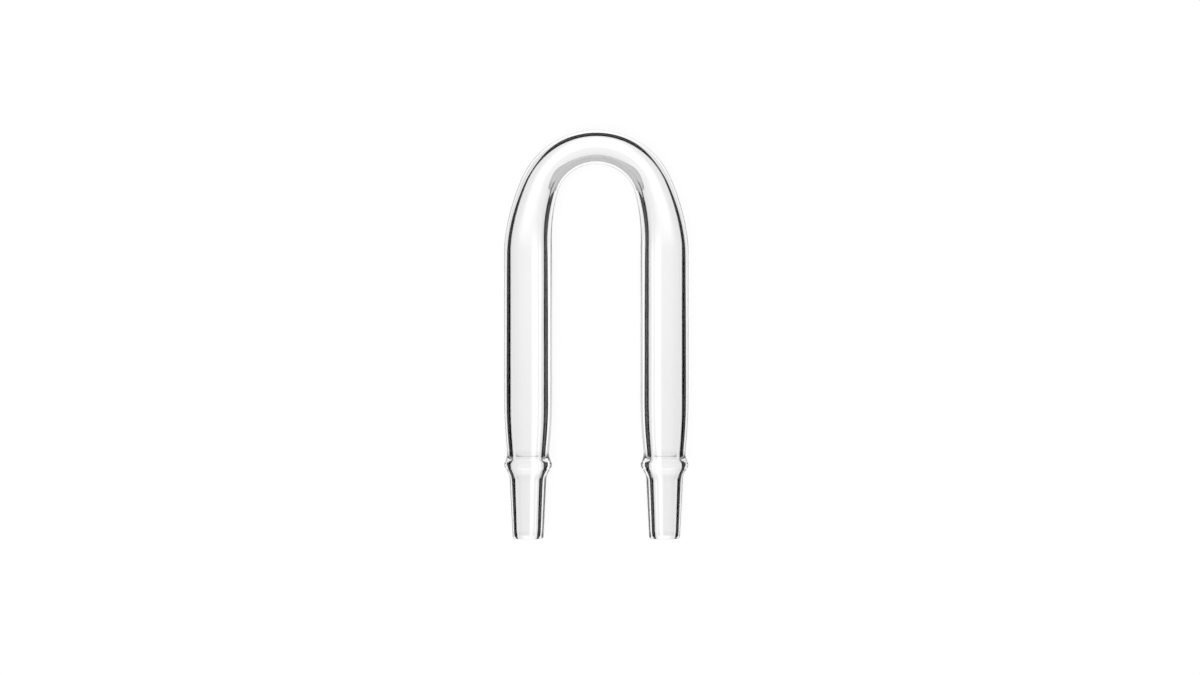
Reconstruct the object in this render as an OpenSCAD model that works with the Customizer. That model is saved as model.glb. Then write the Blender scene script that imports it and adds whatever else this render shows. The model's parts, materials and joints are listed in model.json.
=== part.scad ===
// Drying tube: one length of borosilicate tubing bent into a U by hand, each leg drawn in at a
// neck, blown out into a bead and finished with a male standard-taper joint for a 14/23 socket.
// The tube lies flat on the bench. Its legs run along Y, the bend is at +Y, and the bench is Z = 0.

/* [Tubing] */
// Outside diameter of the straight legs
tube_od = 19; // [16:0.5:22]
// Thickness of the wall in the legs, the bead and the sides of the bend
tube_wall = 2.85; // [2:0.05:3.2]
// Distance between the axes of the two legs
leg_spacing = 54; // [46:1:80]
// Length from the mouths of the joints to the top of the bend
overall_length = 162; // [140:1:220]
// How far the bore of a leg sits off the middle of the glass, away from the gap between the legs
bore_offset = 0.25; // [0:0.05:0.5]

/* [Bend] */
// Radius of the easy shoulder at the start of the bend, on the tube's centre line
shoulder_bend_r = 74; // [45:1:110]
// Angle that the shoulder turns through before the tighter crown takes over
shoulder_turn = 20; // [10:1:35]
// Thickness of the tube over the crown, in the plane of the bend
crown_thickness = 13.7; // [11:0.1:19]
// Width of the tube over the crown, across the plane of the bend
crown_width = 17.6; // [13:0.1:19]
// How soon the section flattens along the bend: a lower value flattens it sooner
flatten_onset = 0.6; // [0.4:0.05:1]
// Thickness of the wall at the top and the underside of the crown
crown_wall = 3.4; // [2:0.1:4]
// How far the bore of the crown sits off the middle of the glass, away from the gap
crown_offset = 0.1; // [0:0.05:0.5]

/* [Taper joint] */
// Diameter at the wide end of the ground length
joint_d = 14.5; // [12:0.1:16]
// Ground length, from its wide end to the mouth
joint_length = 23; // [16:1:40]
// Change of diameter along the joint, as a share of its length
joint_taper = 0.1; // [0.05:0.01:0.15]
// Thickness of the wall at the wide end of the ground length
joint_wall = 2.45; // [1.8:0.05:3]
// Thickness of the wall at the mouth, before its rim was drawn in
mouth_wall = 2; // [1.6:0.05:2.6]
// Radius of the fire-polished edges of the mouth
lip_r = 0.9; // [0.4:0.1:1.1]
// How much the fire-polishing drew the rim of the mouth in
rim_thickening = 0.3; // [0.1:0.05:0.6]
// Length of the rim that was drawn in
rim_length = 2.8; // [2.2:0.1:4]
// Radius at which the rim runs into the bore
rim_round = 6; // [3:0.5:10]

/* [Bead and neck] */
// How much slimmer the bead is at its crest than the leg, in diameter
bead_step = 0.1; // [0:0.1:1]
// Distance from the wide end of the ground length to the crest of the bead
bead_rise = 6.2; // [5.5:0.1:9]
// Radius of the bead's crest
bead_round = 2; // [1:0.1:2.4]
// Radius of the crest inside the bead
bore_bead_round = 1.6; // [0.8:0.1:2]
// How far the crest inside the bead sits towards the mouth from the crest outside
bore_bead_drop = 0.3; // [0:0.1:0.6]
// Length of plain taper between the ground length and the foot of the bead
relief_length = 2.2; // [0.5:0.1:2.6]
// Fillet at the foot of the bead
root_fillet = 6; // [1:0.5:8]
// How far the foot inside the bead sits towards the mouth from the foot outside
bore_root_drop = 0.6; // [0:0.1:1]
// Fillet at the foot inside the bead
bore_root_fillet = 12; // [2:0.5:14]
// How much the neck above the bead is drawn in from the leg, in diameter
neck_draw = 2.4; // [1.6:0.1:3]
// Thickness of the wall in the neck
neck_wall = 2.6; // [2:0.05:3]
// Distance from the crest of the bead to the lower end of the neck
neck_rise = 3; // [2.4:0.1:5]
// Length of the neck
neck_length = 2.4; // [1.6:0.1:5]
// Fillet at the ends of the neck
neck_fillet = 8; // [1:0.5:9]
// How far the neck inside sits towards the mouth from the neck outside
bore_neck_drop = 1; // [0:0.1:1.2]
// Fillet at the ends of the neck inside
bore_neck_fillet = 1; // [0.5:0.5:4]
// Distance from the neck to the middle of the shoulder that opens out to the leg
shoulder_rise = 12; // [11:0.1:20]
// Radius of that shoulder along the leg
shoulder_round = 200; // [60:10:220]

/* [Hidden] */

// Steps along an arc of an outline
arc_steps = 8;
// Steps along the bend from a leg to the crown
bend_steps = 20;
// Sides of a section of the bend, and of the round surfaces of a leg
section_sides = 36;
leg_sides = 96;
// Tint and opacity of the glass on the screen
glass_tint = [0.86, 0.92, 0.93];
glass_opacity = 0.45;
// A fillet takes up this share of the shorter line beside it at the most
fillet_share = 0.85;
// Each edge of the mouth stops at least this far from the middle of the rim
lip_land = 0.1;
// The bend is fused into each leg over this length, and is this much slimmer there
seam_overlap = 0.6;
seam_step = 0.02;
// The bores run this far past the mouths
cut_past = 1;

tube_r = tube_od / 2;
bead_od = tube_od - bead_step;
neck_od = tube_od - neck_draw;
axis_x = leg_spacing / 2;
axis_z = max(tube_od, bead_od, crown_width) / 2;
mouth_y = -overall_length / 2;

// Heights along a leg, from its mouth
root_h = joint_length + relief_length;
bead_h = joint_length + bead_rise;
neck_h = bead_h + neck_rise;
shoulder_h = neck_h + neck_length + shoulder_rise;

// The shoulder and the crown of the bend are two tangent arcs, which set the crown's radius
crown_bend_r = (axis_x - shoulder_bend_r * (1 - cos(shoulder_turn))) / cos(shoulder_turn);
bend_rise = shoulder_bend_r * sin(shoulder_turn) + crown_bend_r * (1 - sin(shoulder_turn));
bend_h = overall_length - crown_thickness / 2 - bend_rise;
shoulder_run = shoulder_bend_r * shoulder_turn * PI / 180;
half_bend_run = shoulder_run + crown_bend_r * (90 - shoulder_turn) * PI / 180;

function unit(v) = v / norm(v);

// The arc from one spoke of a circle to another, the short way round
function arc(centre, from, to) =
    let (sweep = acos(unit(from) * unit(to)))
    [for (i = [0:arc_steps])
        let (k = i / arc_steps)
        centre + (from * sin((1 - k) * sweep) + to * sin(k * sweep)) / sin(sweep)];

// The tangent arc of a given radius that rounds corner p between points a and b, or of the largest
// radius that the lines beside the corner allow
function fillet(a, p, b, radius) =
    let (
        u = unit(a - p),
        v = unit(b - p),
        half = acos(u * v) / 2,
        reach = min(radius / tan(half), fillet_share * min(norm(a - p), norm(b - p))),
        centre = p + unit(u + v) * reach / cos(half)
    )
    arc(centre, p + u * reach - centre, p + v * reach - centre);

// The spoke of a circle at which a line from point p touches it, on the side away from the axis
function touch(p, centre, radius, side) =
    let (
        u = unit(p - centre),
        open = acos(radius / norm(p - centre))
    )
    radius * (u * cos(open) + side * [-u.y, u.x] * sin(open));

// Half outline of a leg from the foot of the bead up, as [radius, height] points. The outline comes
// up to the foot from point below
function upper_outline(below, root, root_round, crest, crest_round, neck, neck_round, leg_r) =
    let (
        neck_top = neck + [0, neck_length],
        shoulder = [leg_r, shoulder_h],
        leg_end = [leg_r, bend_h],
        from_root = touch(root, crest, crest_round, 1),
        to_neck = touch(neck, crest, crest_round, -1),
        neck_foot = fillet(crest + to_neck, neck, neck_top, neck_round)
    )
    concat(
        fillet(below, root, crest + from_root, root_round),
        arc(crest, from_root, to_neck),
        neck_foot,
        fillet(neck_foot[arc_steps], neck_top, shoulder, neck_round),
        fillet(neck_top, shoulder, leg_end, shoulder_round),
        [leg_end]
    );

// Radius of the joint's taper at a height above the mouth
function joint_r(h) = joint_d / 2 + joint_taper / 2 * (h - joint_length);

// Radius of the bore in the joint there, whose wall thins evenly towards the mouth
function joint_bore_r(h) = joint_r(h) - mouth_wall - (joint_wall - mouth_wall) * h / joint_length;

// The mouth's edges are never rounder than the wall there allows
lip = min(lip_r, (mouth_wall + rim_thickening - bore_offset) / 2 - lip_land);

// Outline of a leg's outside, from the edge of the mouth up
function outside_outline() =
    let (
        mouth = [joint_r(0), 0],
        root = [joint_r(root_h), root_h],
        crest = [bead_od / 2 - bead_round, bead_h],
        neck = [neck_od / 2, neck_h]
    )
    concat(
        fillet([0, 0], mouth, root, lip),
        upper_outline(mouth, root, root_fillet, crest, bead_round, neck, neck_fillet, tube_r)
    );

// Outline of a leg's bore, from the edge of the mouth up. The foot, the bead and the neck inside
// don't lie level with those outside, because the glass was soft when they were blown and drawn
function bore_outline() =
    let (
        mouth = [joint_bore_r(0) - rim_thickening, 0],
        rim = [joint_bore_r(rim_length), rim_length],
        bore_root_h = root_h - bore_root_drop,
        root = [joint_bore_r(bore_root_h), bore_root_h],
        crest = [bead_od / 2 - tube_wall - bore_bead_round, bead_h - bore_bead_drop],
        neck = [neck_od / 2 - neck_wall, neck_h - bore_neck_drop],
        leg_r = tube_r - tube_wall
    )
    concat(
        fillet([tube_od, 0], mouth, rim, lip),
        fillet(mouth, rim, root, rim_round),
        upper_outline(rim, root, bore_root_fillet, crest, bore_bead_round, neck, bore_neck_fillet, leg_r)
    );

module revolve_leg(outline, foot) {
    rotate([-90, 0, 0])
        rotate_extrude($fn = leg_sides)
            polygon(concat([[0, foot], [outline[0].x, foot]], outline, [[0, bend_h]]));
}

module leg_outside() {
    revolve_leg(outside_outline(), 0);
}

module leg_bore() {
    revolve_leg(bore_outline(), -cut_past);
}

// Angle turned by the bend at a distance along its centre line from the leg
function turned(run) =
    run < shoulder_run
        ? run / shoulder_bend_r * 180 / PI
        : shoulder_turn + (run - shoulder_run) / crown_bend_r * 180 / PI;

// Centre of the section there, seen from above on the left half
function bend_centre(run) =
    let (turn = turned(run))
    run < 0
        ? [-axis_x, mouth_y + bend_h + run]
        : run < shoulder_run
            ? [-axis_x + shoulder_bend_r * (1 - cos(turn)), mouth_y + bend_h + shoulder_bend_r * sin(turn)]
            : [-crown_bend_r * cos(turn),
               overall_length / 2 - crown_thickness / 2 - crown_bend_r * (1 - sin(turn))];

// Share of the crown's flattening that the section has there, from 0 at the leg to 1 at the top
function flattened(run) =
    let (v = pow(max(run, 0) / half_bend_run, flatten_onset))
    v * v * (3 - 2 * v);

// One oval section of the bend. It is taken in by a wall that eases to top_wall at the top and the
// underside of the crown, and is shifted away from the gap by an offset that eases to crown_shift
function bend_section(run, wall, top_wall, shift, crown_shift) =
    let (
        centre = bend_centre(run),
        turn = turned(max(run, 0)),
        share = flattened(run),
        in_plane = tube_r + (crown_thickness / 2 - tube_r) * share - wall - seam_step,
        across = tube_r - wall + (crown_width / 2 - top_wall - tube_r + wall) * share - seam_step,
        offset = shift + (crown_shift - shift) * share
    )
    [for (i = [0:section_sides - 1])
        let (
            angle = 360 * i / section_sides,
            out = offset + in_plane * cos(angle)
        )
        [centre.x - out * cos(turn), centre.y + out * sin(turn), axis_z + across * sin(angle)]];

// The sections from leg to leg, the right half being the mirror image of the left
function bend_sections(wall, top_wall, shift, crown_shift) =
    let (
        runs = concat([-seam_overlap], [for (i = [0:bend_steps]) half_bend_run * i / bend_steps]),
        left = [for (run = runs) bend_section(run, wall, top_wall, shift, crown_shift)],
        last = len(runs) - 1
    )
    concat(left, [for (i = [last - 1:-1:0]) [for (p = left[i]) [-p.x, p.y, p.z]]]);

// A solid lofted through sections that all have the same number of points
module loft(sections) {
    rings = len(sections);
    sides = len(sections[0]);
    skin = [for (r = [0:rings - 2], s = [0:sides - 1])
        let (
            a = r * sides + s,
            b = r * sides + (s + 1) % sides
        )
        each [[a, b + sides, b], [a, a + sides, b + sides]]];
    start_cap = [[for (s = [0:sides - 1]) s]];
    end_cap = [[for (s = [sides - 1:-1:0]) (rings - 1) * sides + s]];
    polyhedron([for (ring = sections) each ring], concat(skin, start_cap, end_cap));
}

// Places a leg's solid on both axes, shifted away from the gap
module on_both_legs(shift) {
    for (side = [-1, 1])
        translate([side * (axis_x + shift), mouth_y, axis_z])
            children();
}

module drying_tube() {
    color(glass_tint, glass_opacity)
        difference() {
            union() {
                on_both_legs(0) leg_outside();
                loft(bend_sections(0, 0, 0, 0));
            }
            union() {
                on_both_legs(bore_offset) leg_bore();
                loft(bend_sections(tube_wall, crown_wall, bore_offset, crown_offset));
            }
        }
}

drying_tube();
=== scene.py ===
import json
import math

import bpy
import numpy as np
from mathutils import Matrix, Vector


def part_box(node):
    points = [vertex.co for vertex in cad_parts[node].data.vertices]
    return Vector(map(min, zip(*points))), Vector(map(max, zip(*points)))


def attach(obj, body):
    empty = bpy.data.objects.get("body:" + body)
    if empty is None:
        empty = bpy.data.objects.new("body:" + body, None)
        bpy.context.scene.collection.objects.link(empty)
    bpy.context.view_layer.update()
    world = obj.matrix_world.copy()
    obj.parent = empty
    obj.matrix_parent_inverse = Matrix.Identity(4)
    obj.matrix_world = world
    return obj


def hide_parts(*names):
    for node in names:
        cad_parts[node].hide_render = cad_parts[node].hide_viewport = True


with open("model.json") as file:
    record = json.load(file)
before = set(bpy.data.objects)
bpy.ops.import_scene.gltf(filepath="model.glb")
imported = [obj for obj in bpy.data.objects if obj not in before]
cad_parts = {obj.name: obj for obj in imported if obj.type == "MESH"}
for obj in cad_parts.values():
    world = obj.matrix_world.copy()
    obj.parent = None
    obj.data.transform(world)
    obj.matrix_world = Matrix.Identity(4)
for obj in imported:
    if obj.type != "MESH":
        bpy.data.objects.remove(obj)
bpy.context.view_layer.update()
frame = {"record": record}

scene = bpy.context.scene
scene.view_settings.view_transform = "Standard"


# The legs: two straight lengths of borosilicate tubing, each drawn in at a neck, blown out into a
# hollow bead and turned down to a male standard-taper joint whose mouth was fire-polished.
# Lengths are in metres, and heights along a leg count from its mouth.
MM = 0.001
mounts = {mount["name"]: mount for mount in frame["record"]["mounts"]}
_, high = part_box("drying_tube")
TUBE_R = mounts["left_leg_grip"]["dims"]["r_mm"] * MM
AXIS_X, MOUTH_Y, AXIS_Z = mounts["right_joint"]["pos_m"]
TOP_Y = high[1]
TUBE_WALL = 2.85 * MM
BORE_OFFSET = 0.25 * MM

JOINT_R = 7.25 * MM
JOINT_LENGTH = 23 * MM
JOINT_SLOPE = 0.05
JOINT_WALL = 2.45 * MM
MOUTH_WALL = 2 * MM
LIP_R = 0.9 * MM
RIM_THICKENING = 0.3 * MM
RIM_LENGTH = 2.8 * MM
RIM_ROUND = 6 * MM
ROOT_H = JOINT_LENGTH + 2.2 * MM
ROOT_FILLET = 6 * MM
BORE_ROOT_DROP = 0.6 * MM
BORE_ROOT_FILLET = 12 * MM
BEAD_R = 9.45 * MM
BEAD_H = JOINT_LENGTH + 6.2 * MM
BEAD_ROUND = 2 * MM
BORE_BEAD_ROUND = 1.6 * MM
BORE_BEAD_DROP = 0.3 * MM
NECK_R = 8.3 * MM
NECK_WALL = 2.6 * MM
NECK_H = BEAD_H + 3 * MM
NECK_LENGTH = 2.4 * MM
NECK_FILLET = 8 * MM
BORE_NECK_DROP = 1 * MM
BORE_NECK_FILLET = 1 * MM
SHOULDER_H = NECK_H + NECK_LENGTH + 12 * MM
SHOULDER_ROUND = 200 * MM
ARC_STEPS = 12
LEG_STEPS = 24


def unit(vector):
    """The vector at length 1."""
    return vector / np.linalg.norm(vector)


def arc(centre, start, end):
    """Points of a circle from spoke start to spoke end, the short way: the two spokes are blended
    by sines of the angle left and the angle done, over the sine of the whole sweep."""
    sweep = math.acos(np.dot(unit(start), unit(end)))
    done = np.linspace(0, 1, ARC_STEPS + 1)[:, None]
    return centre + (np.sin((1 - done) * sweep) * start + np.sin(done * sweep) * end) / math.sin(sweep)


def fillet(before, corner, after, radius):
    """The tangent arc that rounds a corner: its centre lies on the corner's bisector, one radius
    from both sides."""
    back, on = unit(before - corner), unit(after - corner)
    half = math.acos(np.dot(back, on)) / 2
    centre = corner + unit(back + on) * radius / math.sin(half)
    reach = radius / math.tan(half)
    return arc(centre, corner + back * reach - centre, corner + on * reach - centre)


def touch(point, centre, radius, side):
    """The spoke of a circle at which a line from the point touches it, so that line and spoke
    are square to each other; side is +1 or -1."""
    away = unit(point - centre)
    opening = math.acos(radius / np.linalg.norm(point - centre))
    across = np.array([-away[1], away[0]])
    return radius * (away * math.cos(opening) + side * across * math.sin(opening))


def joint_r(height):
    """Radius of the joint's taper at a height above the mouth."""
    return JOINT_R + JOINT_SLOPE * (height - JOINT_LENGTH)


def joint_bore_r(height):
    """Radius of the bore in the joint, whose wall thins evenly towards the mouth."""
    return joint_r(height) - MOUTH_WALL - (JOINT_WALL - MOUTH_WALL) * height / JOINT_LENGTH


def upper_outline(below, root, root_round, crest, crest_round, neck, neck_round, leg_r):
    """Radius and height of a leg's surface from the foot of the bead to the bend: straight lines
    between the foot, the bead's crest, the neck and the leg, with a tangent arc at each."""
    neck_top = neck + (0, NECK_LENGTH)
    shoulder = np.array([leg_r, SHOULDER_H])
    leg_end = np.array([leg_r, BEND_Y - MOUTH_Y])
    from_root = touch(root, crest, crest_round, 1)
    to_neck = touch(neck, crest, crest_round, -1)
    rounded = np.vstack([
        fillet(below, root, crest + from_root, root_round),
        arc(crest, from_root, to_neck),
        fillet(crest + to_neck, neck, neck_top, neck_round),
        fillet(neck, neck_top, shoulder, neck_round),
        fillet(neck_top, shoulder, leg_end, SHOULDER_ROUND),
    ])
    straight = np.linspace(rounded[-1], leg_end, LEG_STEPS, endpoint=False)[1:]
    return np.vstack([rounded, straight])


def outside_outline():
    """A leg's outside from the rounded edge of the mouth up."""
    mouth = np.array([joint_r(0), 0])
    root = np.array([joint_r(ROOT_H), ROOT_H])
    crest = np.array([BEAD_R - BEAD_ROUND, BEAD_H])
    neck = np.array([NECK_R, NECK_H])
    return np.vstack([
        fillet(np.zeros(2), mouth, root, LIP_R),
        upper_outline(mouth, root, ROOT_FILLET, crest, BEAD_ROUND, neck, NECK_FILLET, TUBE_R),
    ])


def bore_outline():
    """A leg's bore from the mouth up: its rim was drawn in by the flame, and its foot, crest and
    neck don't lie level with those outside."""
    mouth = np.array([joint_bore_r(0) - RIM_THICKENING, 0])
    rim = np.array([joint_bore_r(RIM_LENGTH), RIM_LENGTH])
    root_h = ROOT_H - BORE_ROOT_DROP
    root = np.array([joint_bore_r(root_h), root_h])
    crest = np.array([BEAD_R - TUBE_WALL - BORE_BEAD_ROUND, BEAD_H - BORE_BEAD_DROP])
    neck = np.array([NECK_R - NECK_WALL, NECK_H - BORE_NECK_DROP])
    return np.vstack([
        fillet(np.array([TUBE_R, 0]), mouth, rim, LIP_R),
        fillet(mouth, rim, root, RIM_ROUND),
        upper_outline(rim, root, BORE_ROOT_FILLET, crest, BORE_BEAD_ROUND, neck, BORE_NECK_FILLET,
                      TUBE_R - TUBE_WALL),
    ])


# The bend: the middle of the same tube, softened in a flame and bent by hand into an arch. It
# leaves the legs in an easy shoulder, tightens at the crown, and has flattened to an oval there.
SHOULDER_BEND_R = 74 * MM
SHOULDER_TURN = math.radians(20)
CROWN_IN_PLANE = 6.85 * MM
CROWN_ACROSS = 8.8 * MM
FLATTEN_ONSET = 0.6
FLATTEN_LAG = 0.06
CROWN_WALL = 3.4 * MM
CROWN_OFFSET = 0.1 * MM
BEND_STEPS = 80

CROWN_BEND_R = (AXIS_X - SHOULDER_BEND_R * (1 - math.cos(SHOULDER_TURN))) / math.cos(SHOULDER_TURN)
BEND_RISE = SHOULDER_BEND_R * math.sin(SHOULDER_TURN) + CROWN_BEND_R * (1 - math.sin(SHOULDER_TURN))
BEND_Y = TOP_Y - CROWN_IN_PLANE - BEND_RISE
SHOULDER_RUN = SHOULDER_BEND_R * SHOULDER_TURN
HALF_RUN = SHOULDER_RUN + CROWN_BEND_R * (math.pi / 2 - SHOULDER_TURN)

# Columns of a skin's sections that are read by themselves
X, TURN, IN_PLANE, RUN = 0, 2, 3, 6


def half_skin(outline, wall, top_wall, shift, top_shift):
    """Sections of one skin of the glass from the right mouth to the crown, as rows of centre x,
    centre y, angle turned, half axis in the plane of the bend, half axis across it, shift away from
    the gap, and distance along the tube. A leg's sections are circles on its outline. On the bend
    the centre follows two tangent arcs, and the half axes ease from the leg's to the crown's: the
    share of the bend that is done, held back at its start by a lag, is raised to a power and put
    through a smooth step."""
    radius, height = outline.T
    leg = np.stack([
        np.full_like(radius, AXIS_X),
        MOUTH_Y + height,
        np.zeros_like(radius),
        radius,
        radius,
        np.full_like(radius, shift),
        height,
    ], axis=1)
    run = np.linspace(0, HALF_RUN, BEND_STEPS + 1)
    on_shoulder = run < SHOULDER_RUN
    turn = np.where(
        on_shoulder,
        run / SHOULDER_BEND_R,
        SHOULDER_TURN + (run - SHOULDER_RUN) / CROWN_BEND_R,
    )
    x = np.where(
        on_shoulder,
        AXIS_X - SHOULDER_BEND_R * (1 - np.cos(turn)),
        CROWN_BEND_R * np.cos(turn),
    )
    y = np.where(
        on_shoulder,
        BEND_Y + SHOULDER_BEND_R * np.sin(turn),
        TOP_Y - CROWN_IN_PLANE - CROWN_BEND_R * (1 - np.sin(turn)),
    )
    done = run / HALF_RUN
    ease = (done ** 2 * (1 + FLATTEN_LAG) / (done + FLATTEN_LAG)) ** FLATTEN_ONSET
    ease = ease * ease * (3 - 2 * ease)
    in_plane = TUBE_R - wall + (CROWN_IN_PLANE - TUBE_R) * ease
    across = TUBE_R - wall + (CROWN_ACROSS - top_wall - TUBE_R + wall) * ease
    away = shift + (top_shift - shift) * ease
    bend = np.stack([x, y, turn, in_plane, across, away, BEND_Y - MOUTH_Y + run], axis=1)
    return np.vstack([leg, bend])


def mirrored(half):
    """The other half of a skin, from just past the crown to the left mouth: x changes sign, and
    the angle turned and the distance run on past the crown's."""
    other = half[-2::-1].copy()
    other[:, X] *= -1
    for column in (TURN, RUN):
        other[:, column] = 2 * half[-1, column] - other[:, column]
    return other


# The glass of the whole tube: one closed skin that runs up the outside from mouth to mouth and
# back along the bore, as in the real piece, where nothing is joined on.
SIDES = 128
DRAWN_OUT = 10

outside = half_skin(outside_outline(), 0, 0, 0, 0)
bore = half_skin(bore_outline(), TUBE_WALL, CROWN_WALL, BORE_OFFSET, CROWN_OFFSET)
sections = np.vstack([outside, mirrored(outside), np.vstack([bore, mirrored(bore)])[::-1]])


def closed_skin(name, sections):
    """A surface carried through oval sections and back to the first: each point is its section's
    centre, plus its cosine along the outward normal in the plane of the bend, plus its sine up. Its
    drawn attribute is its place in the straight tubing, with the length drawn out."""
    x, y, turn, in_plane, across, shift, run = sections.T[:, :, None]
    angle = np.linspace(0, 2 * math.pi, SIDES, endpoint=False)[None, :]
    out = shift + in_plane * np.cos(angle)
    points = np.stack([
        x + out * np.cos(turn),
        y + out * np.sin(turn),
        AXIS_Z + across * np.sin(angle),
    ], axis=-1).reshape(-1, 3)
    drawn = np.stack(np.broadcast_arrays(
        in_plane * np.cos(angle),
        across * np.sin(angle),
        run / DRAWN_OUT,
    ), axis=-1)
    rings = len(sections)
    ring, side = np.meshgrid(np.arange(rings), np.arange(SIDES), indexing="ij")
    next_ring, next_side = (ring + 1) % rings, (side + 1) % SIDES
    corners = [(ring, side), (next_ring, side), (next_ring, next_side), (ring, next_side)]
    faces = np.stack([r * SIDES + s for r, s in corners], axis=-1).reshape(-1, 4)
    mesh = bpy.data.meshes.new(name)
    mesh.from_pydata(points, [], faces)
    mesh.polygons.foreach_set("use_smooth", np.ones(len(faces), dtype=bool))
    mesh.update()
    attribute = mesh.attributes.new("drawn", "FLOAT_VECTOR", "POINT")
    attribute.data.foreach_set("vector", drawn.astype(np.float32).ravel())
    piece = bpy.data.objects.new(name, mesh)
    scene.collection.objects.link(piece)
    return piece


glass_tube = closed_skin("glass_tube", sections)
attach(glass_tube, "root")
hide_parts("drying_tube")


def linear(hex_colour):
    """A colour written as sRGB hex, as the linear values that shaders take."""
    srgb = np.array([int(hex_colour[i:i + 2], 16) for i in (1, 3, 5)]) / 255
    return (*np.where(srgb <= 0.04045, srgb / 12.92, ((srgb + 0.055) / 1.055) ** 2.4), 1.0)


def new_material(name):
    """An empty material with its node tree."""
    material = bpy.data.materials.new(name)
    material.use_nodes = True
    material.node_tree.nodes.clear()
    return material, material.node_tree


def add_node(tree, kind, settings=None, links=None):
    """Adds a node, sets its properties and unlinked sockets, and links a socket, or the first
    output of another node, into each input that is named."""
    node = tree.nodes.new(kind)
    for name, value in (settings or {}).items():
        if isinstance(name, int) or name in node.inputs:
            node.inputs[name].default_value = value
        else:
            setattr(node, name, value)
    for name, source in (links or {}).items():
        socket = source.outputs[0] if hasattr(source, "outputs") else source
        tree.links.new(socket, node.inputs[name])
    return node


# Borosilicate glass, drawn as tubing and fire-polished: clear and colourless, so the eye sees mostly
# the bright ground through it, and dark lines where the wall bends the light.
# Drawing left faint ripples that run along the tube and make those lines waver a little.
RIPPLE_WIDTH = 2.5 * MM
RIPPLE_HEIGHT = 0.012 * MM
GLASS_INDEX = 1.473


def borosilicate_glass():
    material, tree = new_material("borosilicate_glass")
    drawn = add_node(tree, "ShaderNodeAttribute", {"attribute_name": "drawn"})
    ripple = add_node(
        tree, "ShaderNodeTexNoise",
        {"Scale": 1 / RIPPLE_WIDTH, "Detail": 2.0, "Roughness": 0.4},
        {"Vector": drawn.outputs["Vector"]},
    )
    waviness = add_node(tree, "ShaderNodeBump", {"Distance": RIPPLE_HEIGHT}, {"Height": ripple})
    glass = add_node(tree, "ShaderNodeBsdfPrincipled", {
        "Base Color": linear("#ffffff"),
        "Roughness": 0.0,
        "IOR": GLASS_INDEX,
        "Transmission Weight": 1.0,
    }, {"Normal": waviness})
    add_node(tree, "ShaderNodeOutputMaterial", links={"Surface": glass})
    return material


glass_tube.data.materials.append(borosilicate_glass())


# The bench: a plain white laminate top that the tube lies on. It takes the tube's soft shadow, and
# the glass looks past it to the light panel below.
BENCH_HALF = 3.0
BENCH_GLOW = 0.92


def flat_sheet(name, outline, z):
    """One flat face at a height, as a piece of the stage."""
    mesh = bpy.data.meshes.new(name)
    mesh.from_pydata([(x, y, z) for x, y in outline], [], [range(len(outline))])
    sheet = bpy.data.objects.new(name, mesh)
    scene.collection.objects.link(sheet)
    return sheet


bench = flat_sheet("bench", [
    (BENCH_HALF, -BENCH_HALF), (BENCH_HALF, BENCH_HALF),
    (-BENCH_HALF, BENCH_HALF), (-BENCH_HALF, -BENCH_HALF),
], 0)
bench.visible_transmission = False
bench.visible_glossy = False


def white_laminate():
    """Matt white laminate under a glow of plain white that only the camera sees, so that the ground is
    white and the shadow pale."""
    material, tree = new_material("white_laminate")
    path = add_node(tree, "ShaderNodeLightPath")
    matt = add_node(tree, "ShaderNodeBsdfDiffuse", {"Color": linear("#f0f0f0")})
    white = add_node(
        tree, "ShaderNodeEmission",
        {"Color": linear("#ffffff")},
        {"Strength": path.outputs["Is Camera Ray"]},
    )
    both = add_node(tree, "ShaderNodeMixShader", {"Fac": BENCH_GLOW}, {1: matt, 2: white})
    add_node(tree, "ShaderNodeOutputMaterial", links={"Surface": both})
    return material


bench.data.materials.append(white_laminate())


# The light panel: a lit white sheet far under the bench that only the glass sees. It narrows along
# the legs, and its round end bulges out below the shoulders of the bend. Past its edges the walls of
# the glass turn black.
PANEL_Z = -1.5
PANEL_SIDE = [(0.46, -1.1), (0.46, -0.17), (0.53, -0.035), (0.57, 0.023), (0.69, 0.075)]
PANEL_ROUND_Y = 0.125
PANEL_R = 0.85
PANEL_BULGE = 1.25
PANEL_BULGE_AT = math.radians(35)
PANEL_BULGE_SPREAD = math.radians(16)
PANEL_END_STEPS = 96

MIDDLE_LEVEL, SIDE_LEVEL = 1.01, 0.83
SIDE_X = 0.65
MOUTH_LEVEL, BEND_LEVEL = 0.88, 1.0
RISE_LOW_Y, RISE_HIGH_Y = -0.30, 0.10
LIFT = 0.22
LIFT_LOW_Y, LIFT_HIGH_Y = 0.08, 0.183
LIFT_FULL_X, LIFT_END_X = 0.08, 0.35
SHADE_LEVEL = 0.56
SHADE_Y = 0.183
SHADE_FULL_AHEAD, SHADE_END_AHEAD = -0.65, -0.35
SHADE_START_R, SHADE_FULL_R = 0.58, 0.70


def panel_end(turn):
    """The panel's edge round its end: a circle that bulges under the bend's shoulders, by a bell
    curve of the angle from each bulge's middle."""
    from_bulge = (np.minimum(turn, math.pi - turn) - PANEL_BULGE_AT) / PANEL_BULGE_SPREAD
    reach = PANEL_R + PANEL_BULGE * np.exp(-from_bulge ** 2)
    return np.stack([reach * np.cos(turn), PANEL_ROUND_Y + reach * np.sin(turn)], axis=1)


panel = flat_sheet("light_panel", [
    *PANEL_SIDE,
    *panel_end(np.linspace(0, math.pi, PANEL_END_STEPS + 1)),
    *np.array(PANEL_SIDE)[::-1] * (-1, 1),
], PANEL_Z)


def leave_to_glass(sheet, in_mirror):
    """Hides a sheet from the camera and the bench, and from reflections too unless in_mirror is true."""
    sheet.visible_camera = False
    sheet.visible_diffuse = False
    sheet.visible_shadow = False
    sheet.visible_glossy = in_mirror


leave_to_glass(panel, in_mirror=True)


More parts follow.
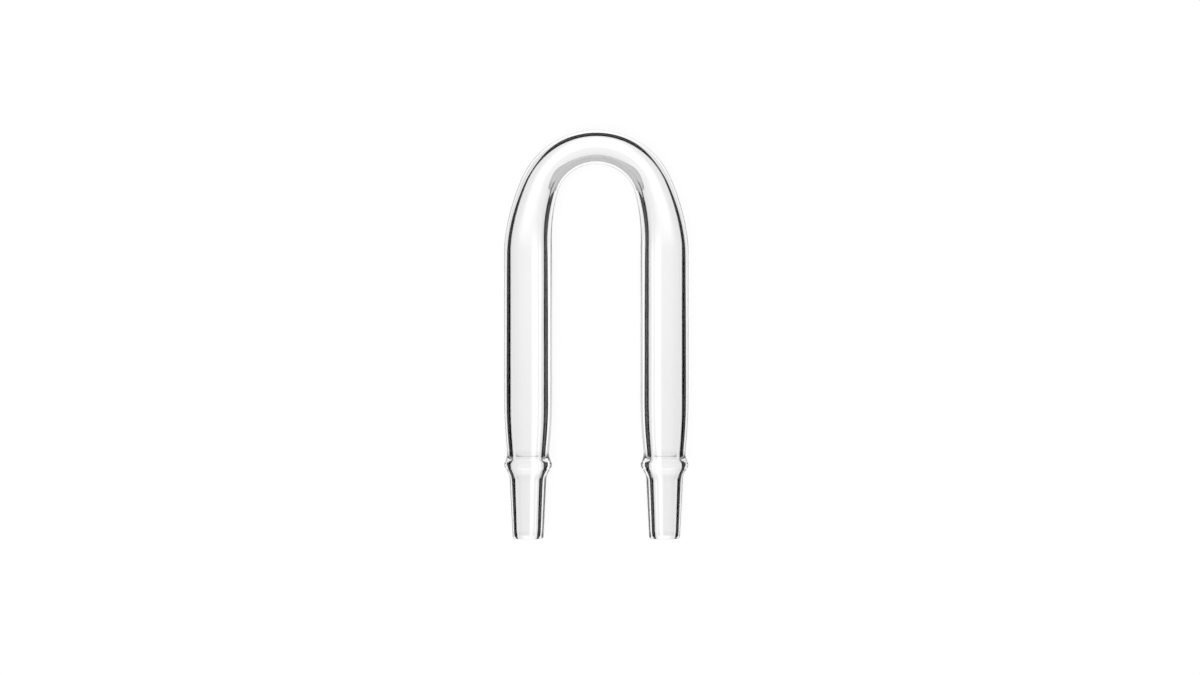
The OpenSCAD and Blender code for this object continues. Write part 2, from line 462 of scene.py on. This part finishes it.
def lit_sheet():
    """A lit sheet whose level is the product of a fall towards the sides, a rise along the legs, a
    lift under the middle of the bend, and a shade over a sector at the front."""
    material, tree = new_material("lit_sheet")
    place = add_node(tree, "ShaderNodeTexCoord").outputs["Object"]
    at = add_node(tree, "ShaderNodeSeparateXYZ", links={"Vector": place}).outputs
    side = add_node(tree, "ShaderNodeMath", {"operation": "ABSOLUTE"}, {0: at["X"]})
    across = add_node(tree, "ShaderNodeMapRange", {
        "interpolation_type": "SMOOTHSTEP",
        "From Min": 0.0, "From Max": SIDE_X, "To Min": MIDDLE_LEVEL, "To Max": SIDE_LEVEL,
    }, {"Value": side})
    along = add_node(tree, "ShaderNodeMapRange", {
        "interpolation_type": "SMOOTHSTEP",
        "From Min": RISE_LOW_Y, "From Max": RISE_HIGH_Y, "To Min": MOUTH_LEVEL, "To Max": BEND_LEVEL,
    }, {"Value": at["Y"]})
    under_bend = add_node(tree, "ShaderNodeMapRange", {
        "interpolation_type": "SMOOTHSTEP",
        "From Min": LIFT_LOW_Y, "From Max": LIFT_HIGH_Y, "To Min": 0.0, "To Max": 1.0,
    }, {"Value": at["Y"]})
    in_middle = add_node(tree, "ShaderNodeMapRange", {
        "interpolation_type": "SMOOTHSTEP",
        "From Min": LIFT_FULL_X, "From Max": LIFT_END_X, "To Min": LIFT, "To Max": 0.0,
    }, {"Value": side})
    lift = add_node(
        tree, "ShaderNodeMath",
        {"operation": "MULTIPLY_ADD", 2: 1.0},
        {0: under_bend, 1: in_middle},
    )
    centre = (0.0, SHADE_Y, PANEL_Z)
    spoke = add_node(tree, "ShaderNodeVectorMath", {"operation": "SUBTRACT", 1: centre}, {0: place})
    reach = add_node(tree, "ShaderNodeVectorMath", {"operation": "LENGTH"}, {0: spoke}).outputs["Value"]
    spoke_at = add_node(tree, "ShaderNodeSeparateXYZ", links={"Vector": spoke}).outputs
    ahead = add_node(tree, "ShaderNodeMath", {"operation": "DIVIDE"}, {0: spoke_at["Y"], 1: reach})
    sector = add_node(tree, "ShaderNodeMapRange", {
        "interpolation_type": "SMOOTHSTEP",
        "From Min": SHADE_FULL_AHEAD, "From Max": SHADE_END_AHEAD, "To Min": 1.0, "To Max": 0.0,
    }, {"Value": ahead})
    rim = add_node(tree, "ShaderNodeMapRange", {
        "interpolation_type": "SMOOTHSTEP",
        "From Min": SHADE_START_R, "From Max": SHADE_FULL_R, "To Min": 0.0, "To Max": 1.0,
    }, {"Value": reach})
    front = add_node(tree, "ShaderNodeMath", {"operation": "MULTIPLY"}, {0: sector, 1: rim})
    shade = add_node(tree, "ShaderNodeMapRange", {
        "interpolation_type": "SMOOTHSTEP",
        "From Min": 0.0, "From Max": 1.0, "To Min": 1.0, "To Max": SHADE_LEVEL,
    }, {"Value": front})
    spread = add_node(tree, "ShaderNodeMath", {"operation": "MULTIPLY"}, {0: across, 1: along})
    lifted = add_node(tree, "ShaderNodeMath", {"operation": "MULTIPLY"}, {0: spread, 1: lift})
    level = add_node(tree, "ShaderNodeMath", {"operation": "MULTIPLY"}, {0: lifted, 1: shade})
    light = add_node(tree, "ShaderNodeEmission", links={"Strength": level})
    add_node(tree, "ShaderNodeOutputMaterial", links={"Surface": light})
    return material


panel.data.materials.append(lit_sheet())


# The shade card: a small fan just under the bench, cut to the inside of the bend and tucked
# under the glass on both sides of it. It is painted shade: it glows grey in place of the bench in
# shadow under the arch, and only the glass sees it, as the grey band inside the bend.
CARD_Z = -1 * MM
CARD_TURN = math.radians(23)
CARD_FULL_TURN = math.radians(37)
CARD_DARK, CARD_PALE = 0.3, 0.55
CARD_OPEN_R = 16.5 * MM
CARD_UNDER = 3.5 * MM
CARD_UNDER_AT = math.radians(43)
CARD_UNDER_SPREAD = math.radians(15)

# Its edge is the inside of the bend, moved under the glass by a bell curve of the angle turned
under = outside[outside[:, TURN] > CARD_TURN]
turn = under[:, [TURN]]
inward = -np.hstack([np.cos(turn), np.sin(turn)])
tuck = CARD_UNDER * np.exp(-((turn - CARD_UNDER_AT) / CARD_UNDER_SPREAD) ** 2)
right_edge = under[:, :2] + (under[:, [IN_PLANE]] - tuck) * inward
left_edge = right_edge[-2::-1] * (-1, 1)
fan_y = TOP_Y - CROWN_IN_PLANE - CROWN_BEND_R
card = flat_sheet("shade_card", [(0, fan_y), *right_edge, *left_edge], CARD_Z)
leave_to_glass(card, in_mirror=False)

WALL_CROSSINGS, BORE_CROSSINGS = 2.0, 4.0


def in_wall(tree):
    """1 for a ray that has run only in the wall, else 0. Such a ray has crossed the glass's surface
    twice or, by way of another limb of the tube, six times. One that crosses the bore does so four
    or eight times."""
    path = add_node(tree, "ShaderNodeLightPath").outputs
    crossings = add_node(
        tree, "ShaderNodeMath",
        {"operation": "MODULO", 1: BORE_CROSSINGS},
        {0: path["Transmission Depth"]},
    )
    return add_node(
        tree, "ShaderNodeMath",
        {"operation": "COMPARE", 1: WALL_CROSSINGS, 2: 0.5},
        {0: crossings},
    )


def grey_card():
    """Painted shade: a card that glows grey in place of the shaded bench under the bend, and darkens,
    by a smooth step, as a line to it from the middle of the bend turns level. Under the glass it is
    clear to rays that have only run in the wall."""
    material, tree = new_material("grey_card")
    place = add_node(tree, "ShaderNodeTexCoord").outputs["Object"]
    middle = (0.0, fan_y, CARD_Z)
    spoke = add_node(tree, "ShaderNodeVectorMath", {"operation": "SUBTRACT", 1: middle}, {0: place})
    way = add_node(tree, "ShaderNodeVectorMath", {"operation": "NORMALIZE"}, {0: spoke})
    way_at = add_node(tree, "ShaderNodeSeparateXYZ", links={"Vector": way}).outputs
    rise = add_node(tree, "ShaderNodeMath", {"operation": "ABSOLUTE"}, {0: way_at["Y"]})
    level = add_node(tree, "ShaderNodeMapRange", {
        "interpolation_type": "SMOOTHSTEP",
        "From Min": math.sin(CARD_TURN), "From Max": math.sin(CARD_FULL_TURN),
        "To Min": CARD_DARK, "To Max": CARD_PALE,
    }, {"Value": rise})
    # Painted shade: the card's grey glow is no lamp, it stands in for the bench in shadow
    light = add_node(tree, "ShaderNodeEmission", links={"Strength": level})
    reach = add_node(tree, "ShaderNodeVectorMath", {"operation": "LENGTH"}, {0: spoke}).outputs["Value"]
    tucked = add_node(tree, "ShaderNodeMath", {"operation": "GREATER_THAN", 1: CARD_OPEN_R}, {0: reach})
    unseen = add_node(tree, "ShaderNodeMath", {"operation": "MULTIPLY"}, {0: tucked, 1: in_wall(tree)})
    clear = add_node(tree, "ShaderNodeBsdfTransparent")
    both = add_node(tree, "ShaderNodeMixShader", links={"Fac": unseen, 1: light, 2: clear})
    add_node(tree, "ShaderNodeOutputMaterial", links={"Surface": both})
    return material


card.data.materials.append(grey_card())


# The edge strips: two dim lit strips just under the bench, each below the middle of a leg and fading
# out at the bend. Only rays that have run in the wall see them, and they keep the outlines pale.
EDGE_Z = -1 * MM
EDGE_HALF_X = 6.5 * MM
EDGE_LOW_Y = MOUTH_Y + NECK_H
EDGE_FADE_Y = BEND_Y - 30 * MM
EDGE_HIGH_Y = BEND_Y + 12 * MM
EDGE_LEVEL = 0.6

edge_strips = [
    flat_sheet(name, [
        (x + EDGE_HALF_X, EDGE_LOW_Y), (x + EDGE_HALF_X, EDGE_HIGH_Y),
        (x - EDGE_HALF_X, EDGE_HIGH_Y), (x - EDGE_HALF_X, EDGE_LOW_Y),
    ], EDGE_Z)
    for name, x in (("right_edge_strip", AXIS_X), ("left_edge_strip", -AXIS_X))
]


def edge_light():
    """Clear film that is lit for rays in the wall only, and fades out along the start of the bend by
    a smooth step."""
    material, tree = new_material("edge_light")
    place = add_node(tree, "ShaderNodeTexCoord").outputs["Object"]
    at = add_node(tree, "ShaderNodeSeparateXYZ", links={"Vector": place}).outputs
    fade = add_node(tree, "ShaderNodeMapRange", {
        "interpolation_type": "SMOOTHSTEP",
        "From Min": EDGE_FADE_Y, "From Max": EDGE_HIGH_Y, "To Min": 1.0, "To Max": 0.0,
    }, {"Value": at["Y"]})
    seen = add_node(tree, "ShaderNodeMath", {"operation": "MULTIPLY"}, {0: in_wall(tree), 1: fade})
    clear = add_node(tree, "ShaderNodeBsdfTransparent")
    light = add_node(tree, "ShaderNodeEmission", {"Color": linear("#ffffff"), "Strength": EDGE_LEVEL})
    both = add_node(tree, "ShaderNodeMixShader", links={"Fac": seen, 1: clear, 2: light})
    add_node(tree, "ShaderNodeOutputMaterial", links={"Surface": both})
    return material


edge_material = edge_light()
for strip in edge_strips:
    leave_to_glass(strip, in_mirror=False)
    strip.data.materials.append(edge_material)


# The light strips: two soft lines of added light nearer under the bench, below the gap between the
# legs, which put the white stripe into the inner half of each leg.
STRIP_Z = -0.1
STRIP_HALF_X = 0.034
STRIP_LOW_Y, STRIP_HIGH_Y = -0.13, 0.06
STRIP_LEVEL = 0.25
STRIP_MIDDLE_SHARE = 0.35
STRIP_PEAK_X = 9 * MM
STRIP_FALL_X, STRIP_END_X = 14.5 * MM, 23 * MM
STRIP_FADE_Y, STRIP_END_Y = 33 * MM, 50 * MM

strips = flat_sheet("light_strips", [
    (STRIP_HALF_X, STRIP_LOW_Y), (STRIP_HALF_X, STRIP_HIGH_Y),
    (-STRIP_HALF_X, STRIP_HIGH_Y), (-STRIP_HALF_X, STRIP_LOW_Y),
], STRIP_Z)
leave_to_glass(strips, in_mirror=False)


def strip_light():
    """Clear film that adds light along two lines: a rise from the middle of the gap, a fall towards
    each leg and a fall at the bend, multiplied."""
    material, tree = new_material("strip_light")
    place = add_node(tree, "ShaderNodeTexCoord").outputs["Object"]
    at = add_node(tree, "ShaderNodeSeparateXYZ", links={"Vector": place}).outputs
    side = add_node(tree, "ShaderNodeMath", {"operation": "ABSOLUTE"}, {0: at["X"]})
    inner = add_node(tree, "ShaderNodeMapRange", {
        "interpolation_type": "SMOOTHSTEP",
        "From Min": 0.0, "From Max": STRIP_PEAK_X, "To Min": STRIP_MIDDLE_SHARE, "To Max": 1.0,
    }, {"Value": side})
    outer = add_node(tree, "ShaderNodeMapRange", {
        "interpolation_type": "SMOOTHSTEP",
        "From Min": STRIP_FALL_X, "From Max": STRIP_END_X, "To Min": STRIP_LEVEL, "To Max": 0.0,
    }, {"Value": side})
    end = add_node(tree, "ShaderNodeMapRange", {
        "interpolation_type": "SMOOTHSTEP",
        "From Min": STRIP_FADE_Y, "From Max": STRIP_END_Y, "To Min": 1.0, "To Max": 0.0,
    }, {"Value": at["Y"]})
    line = add_node(tree, "ShaderNodeMath", {"operation": "MULTIPLY"}, {0: inner, 1: outer})
    level = add_node(tree, "ShaderNodeMath", {"operation": "MULTIPLY"}, {0: line, 1: end})
    light = add_node(tree, "ShaderNodeEmission", links={"Strength": level})
    clear = add_node(tree, "ShaderNodeBsdfTransparent")
    both = add_node(tree, "ShaderNodeAddShader", links={0: light, 1: clear})
    add_node(tree, "ShaderNodeOutputMaterial", links={"Surface": both})
    return material


strips.data.materials.append(strip_light())


# The studio round it: white to the eye, and dark above to reflections. A ray that has crossed the bore
# sees a pale room. One that has only run in the wall sees a dark room, with a pale band level with the
# tube and grey on the mouths' side.
ROOM_ON_BENCH = "#aaaaaa"
ROOM_AHEAD = "#bababa"
AHEAD_FULL, AHEAD_END = -0.42, -0.30
# Each room is a list of degrees up from straight down, with the level there
ROOMS = {
    "through bore": [(0, 0.85), (95, 0.9), (120, 0.75), (180, 0.7)],
    "through wall": [(0, 0.0), (70, 0.0), (76, 0.8), (96, 0.8), (110, 0.05), (180, 0.05)],
    "reflected": [(0, 1.0), (45, 0.9), (60, 0.05), (180, 0.02)],
}

world = bpy.data.worlds.new("studio")
scene.world = world
world.use_nodes = True
tree = world.node_tree
tree.nodes.clear()
direction = add_node(tree, "ShaderNodeTexCoord").outputs["Generated"]
way = add_node(tree, "ShaderNodeSeparateXYZ", links={"Vector": direction}).outputs
height = add_node(
    tree, "ShaderNodeMapRange",
    {"From Min": -1.0, "From Max": 1.0},
    {"Value": way["Z"]},
)
room = {}
for name, stops in ROOMS.items():
    ramp = add_node(tree, "ShaderNodeValToRGB", links={"Fac": height})
    while len(ramp.color_ramp.elements) < len(stops):
        ramp.color_ramp.elements.new(0.5)
    for element, (degrees, level) in zip(ramp.color_ramp.elements, stops):
        element.position = (1 - math.cos(math.radians(degrees))) / 2
        element.color = (level, level, level, 1.0)
    room[name] = ramp.outputs["Color"]

ahead = add_node(tree, "ShaderNodeMapRange", {
    "interpolation_type": "SMOOTHSTEP",
    "From Min": AHEAD_FULL, "From Max": AHEAD_END, "To Min": 1.0, "To Max": 0.0,
}, {"Value": way["Y"]})
through_wall = add_node(
    tree, "ShaderNodeMix",
    {"data_type": "RGBA", 7: linear(ROOM_AHEAD)},
    {0: ahead, 6: room["through wall"]},
)
path = add_node(tree, "ShaderNodeLightPath").outputs
through = add_node(
    tree, "ShaderNodeMix",
    {"data_type": "RGBA"},
    {0: in_wall(tree), 6: room["through bore"], 7: through_wall.outputs[2]},
)
reflected = add_node(
    tree, "ShaderNodeMix",
    {"data_type": "RGBA", 6: linear(ROOM_ON_BENCH)},
    {0: path["Is Glossy Ray"], 7: room["reflected"]},
)
indirect = add_node(
    tree, "ShaderNodeMix",
    {"data_type": "RGBA"},
    {0: path["Is Transmission Ray"], 6: reflected.outputs[2], 7: through.outputs[2]},
)
seen = add_node(
    tree, "ShaderNodeMix",
    {"data_type": "RGBA", 7: linear("#ffffff")},
    {0: path["Is Camera Ray"], 6: indirect.outputs[2]},
)
background = add_node(tree, "ShaderNodeBackground", links={"Color": seen.outputs[2]})
add_node(tree, "ShaderNodeOutputWorld", links={"Surface": background})


# The lamp: one broad, soft light high above the bench. It lights the laminate and gives the tube its
# pale shadow, and neither the eye nor the glass sees the lamp itself.
SUN_STRENGTH = 3.2
SUN_SPREAD = math.radians(50)
SUN_TILT = (math.radians(8), math.radians(-6), 0)

sun = bpy.data.lights.new("soft_sun", "SUN")
sun.energy = SUN_STRENGTH
sun.angle = SUN_SPREAD
sun_object = bpy.data.objects.new("soft_sun", sun)
scene.collection.objects.link(sun_object)
sun_object.rotation_euler = SUN_TILT
sun_object.visible_glossy = False
sun_object.visible_transmission = False
sun_object.visible_camera = False


# The camera: straight above the tube and 1 m from its axis, with the bend at the top of the frame. Its
# lens takes in the photo's width at the tube.
PHOTO_W = 1200
MM_PER_PIXEL = 0.396
CAMERA_H = 1.0
SENSOR_W = 36.0
AIM_X, AIM_Y = 1.46 * MM, -1.45 * MM

camera_data = bpy.data.cameras.new("camera")
camera_data.sensor_width = SENSOR_W
camera_data.lens = SENSOR_W * CAMERA_H / (PHOTO_W * MM_PER_PIXEL * MM)
camera = bpy.data.objects.new("camera", camera_data)
scene.collection.objects.link(camera)
camera.location = (AIM_X, AIM_Y, AXIS_Z + CAMERA_H)
scene.camera = camera
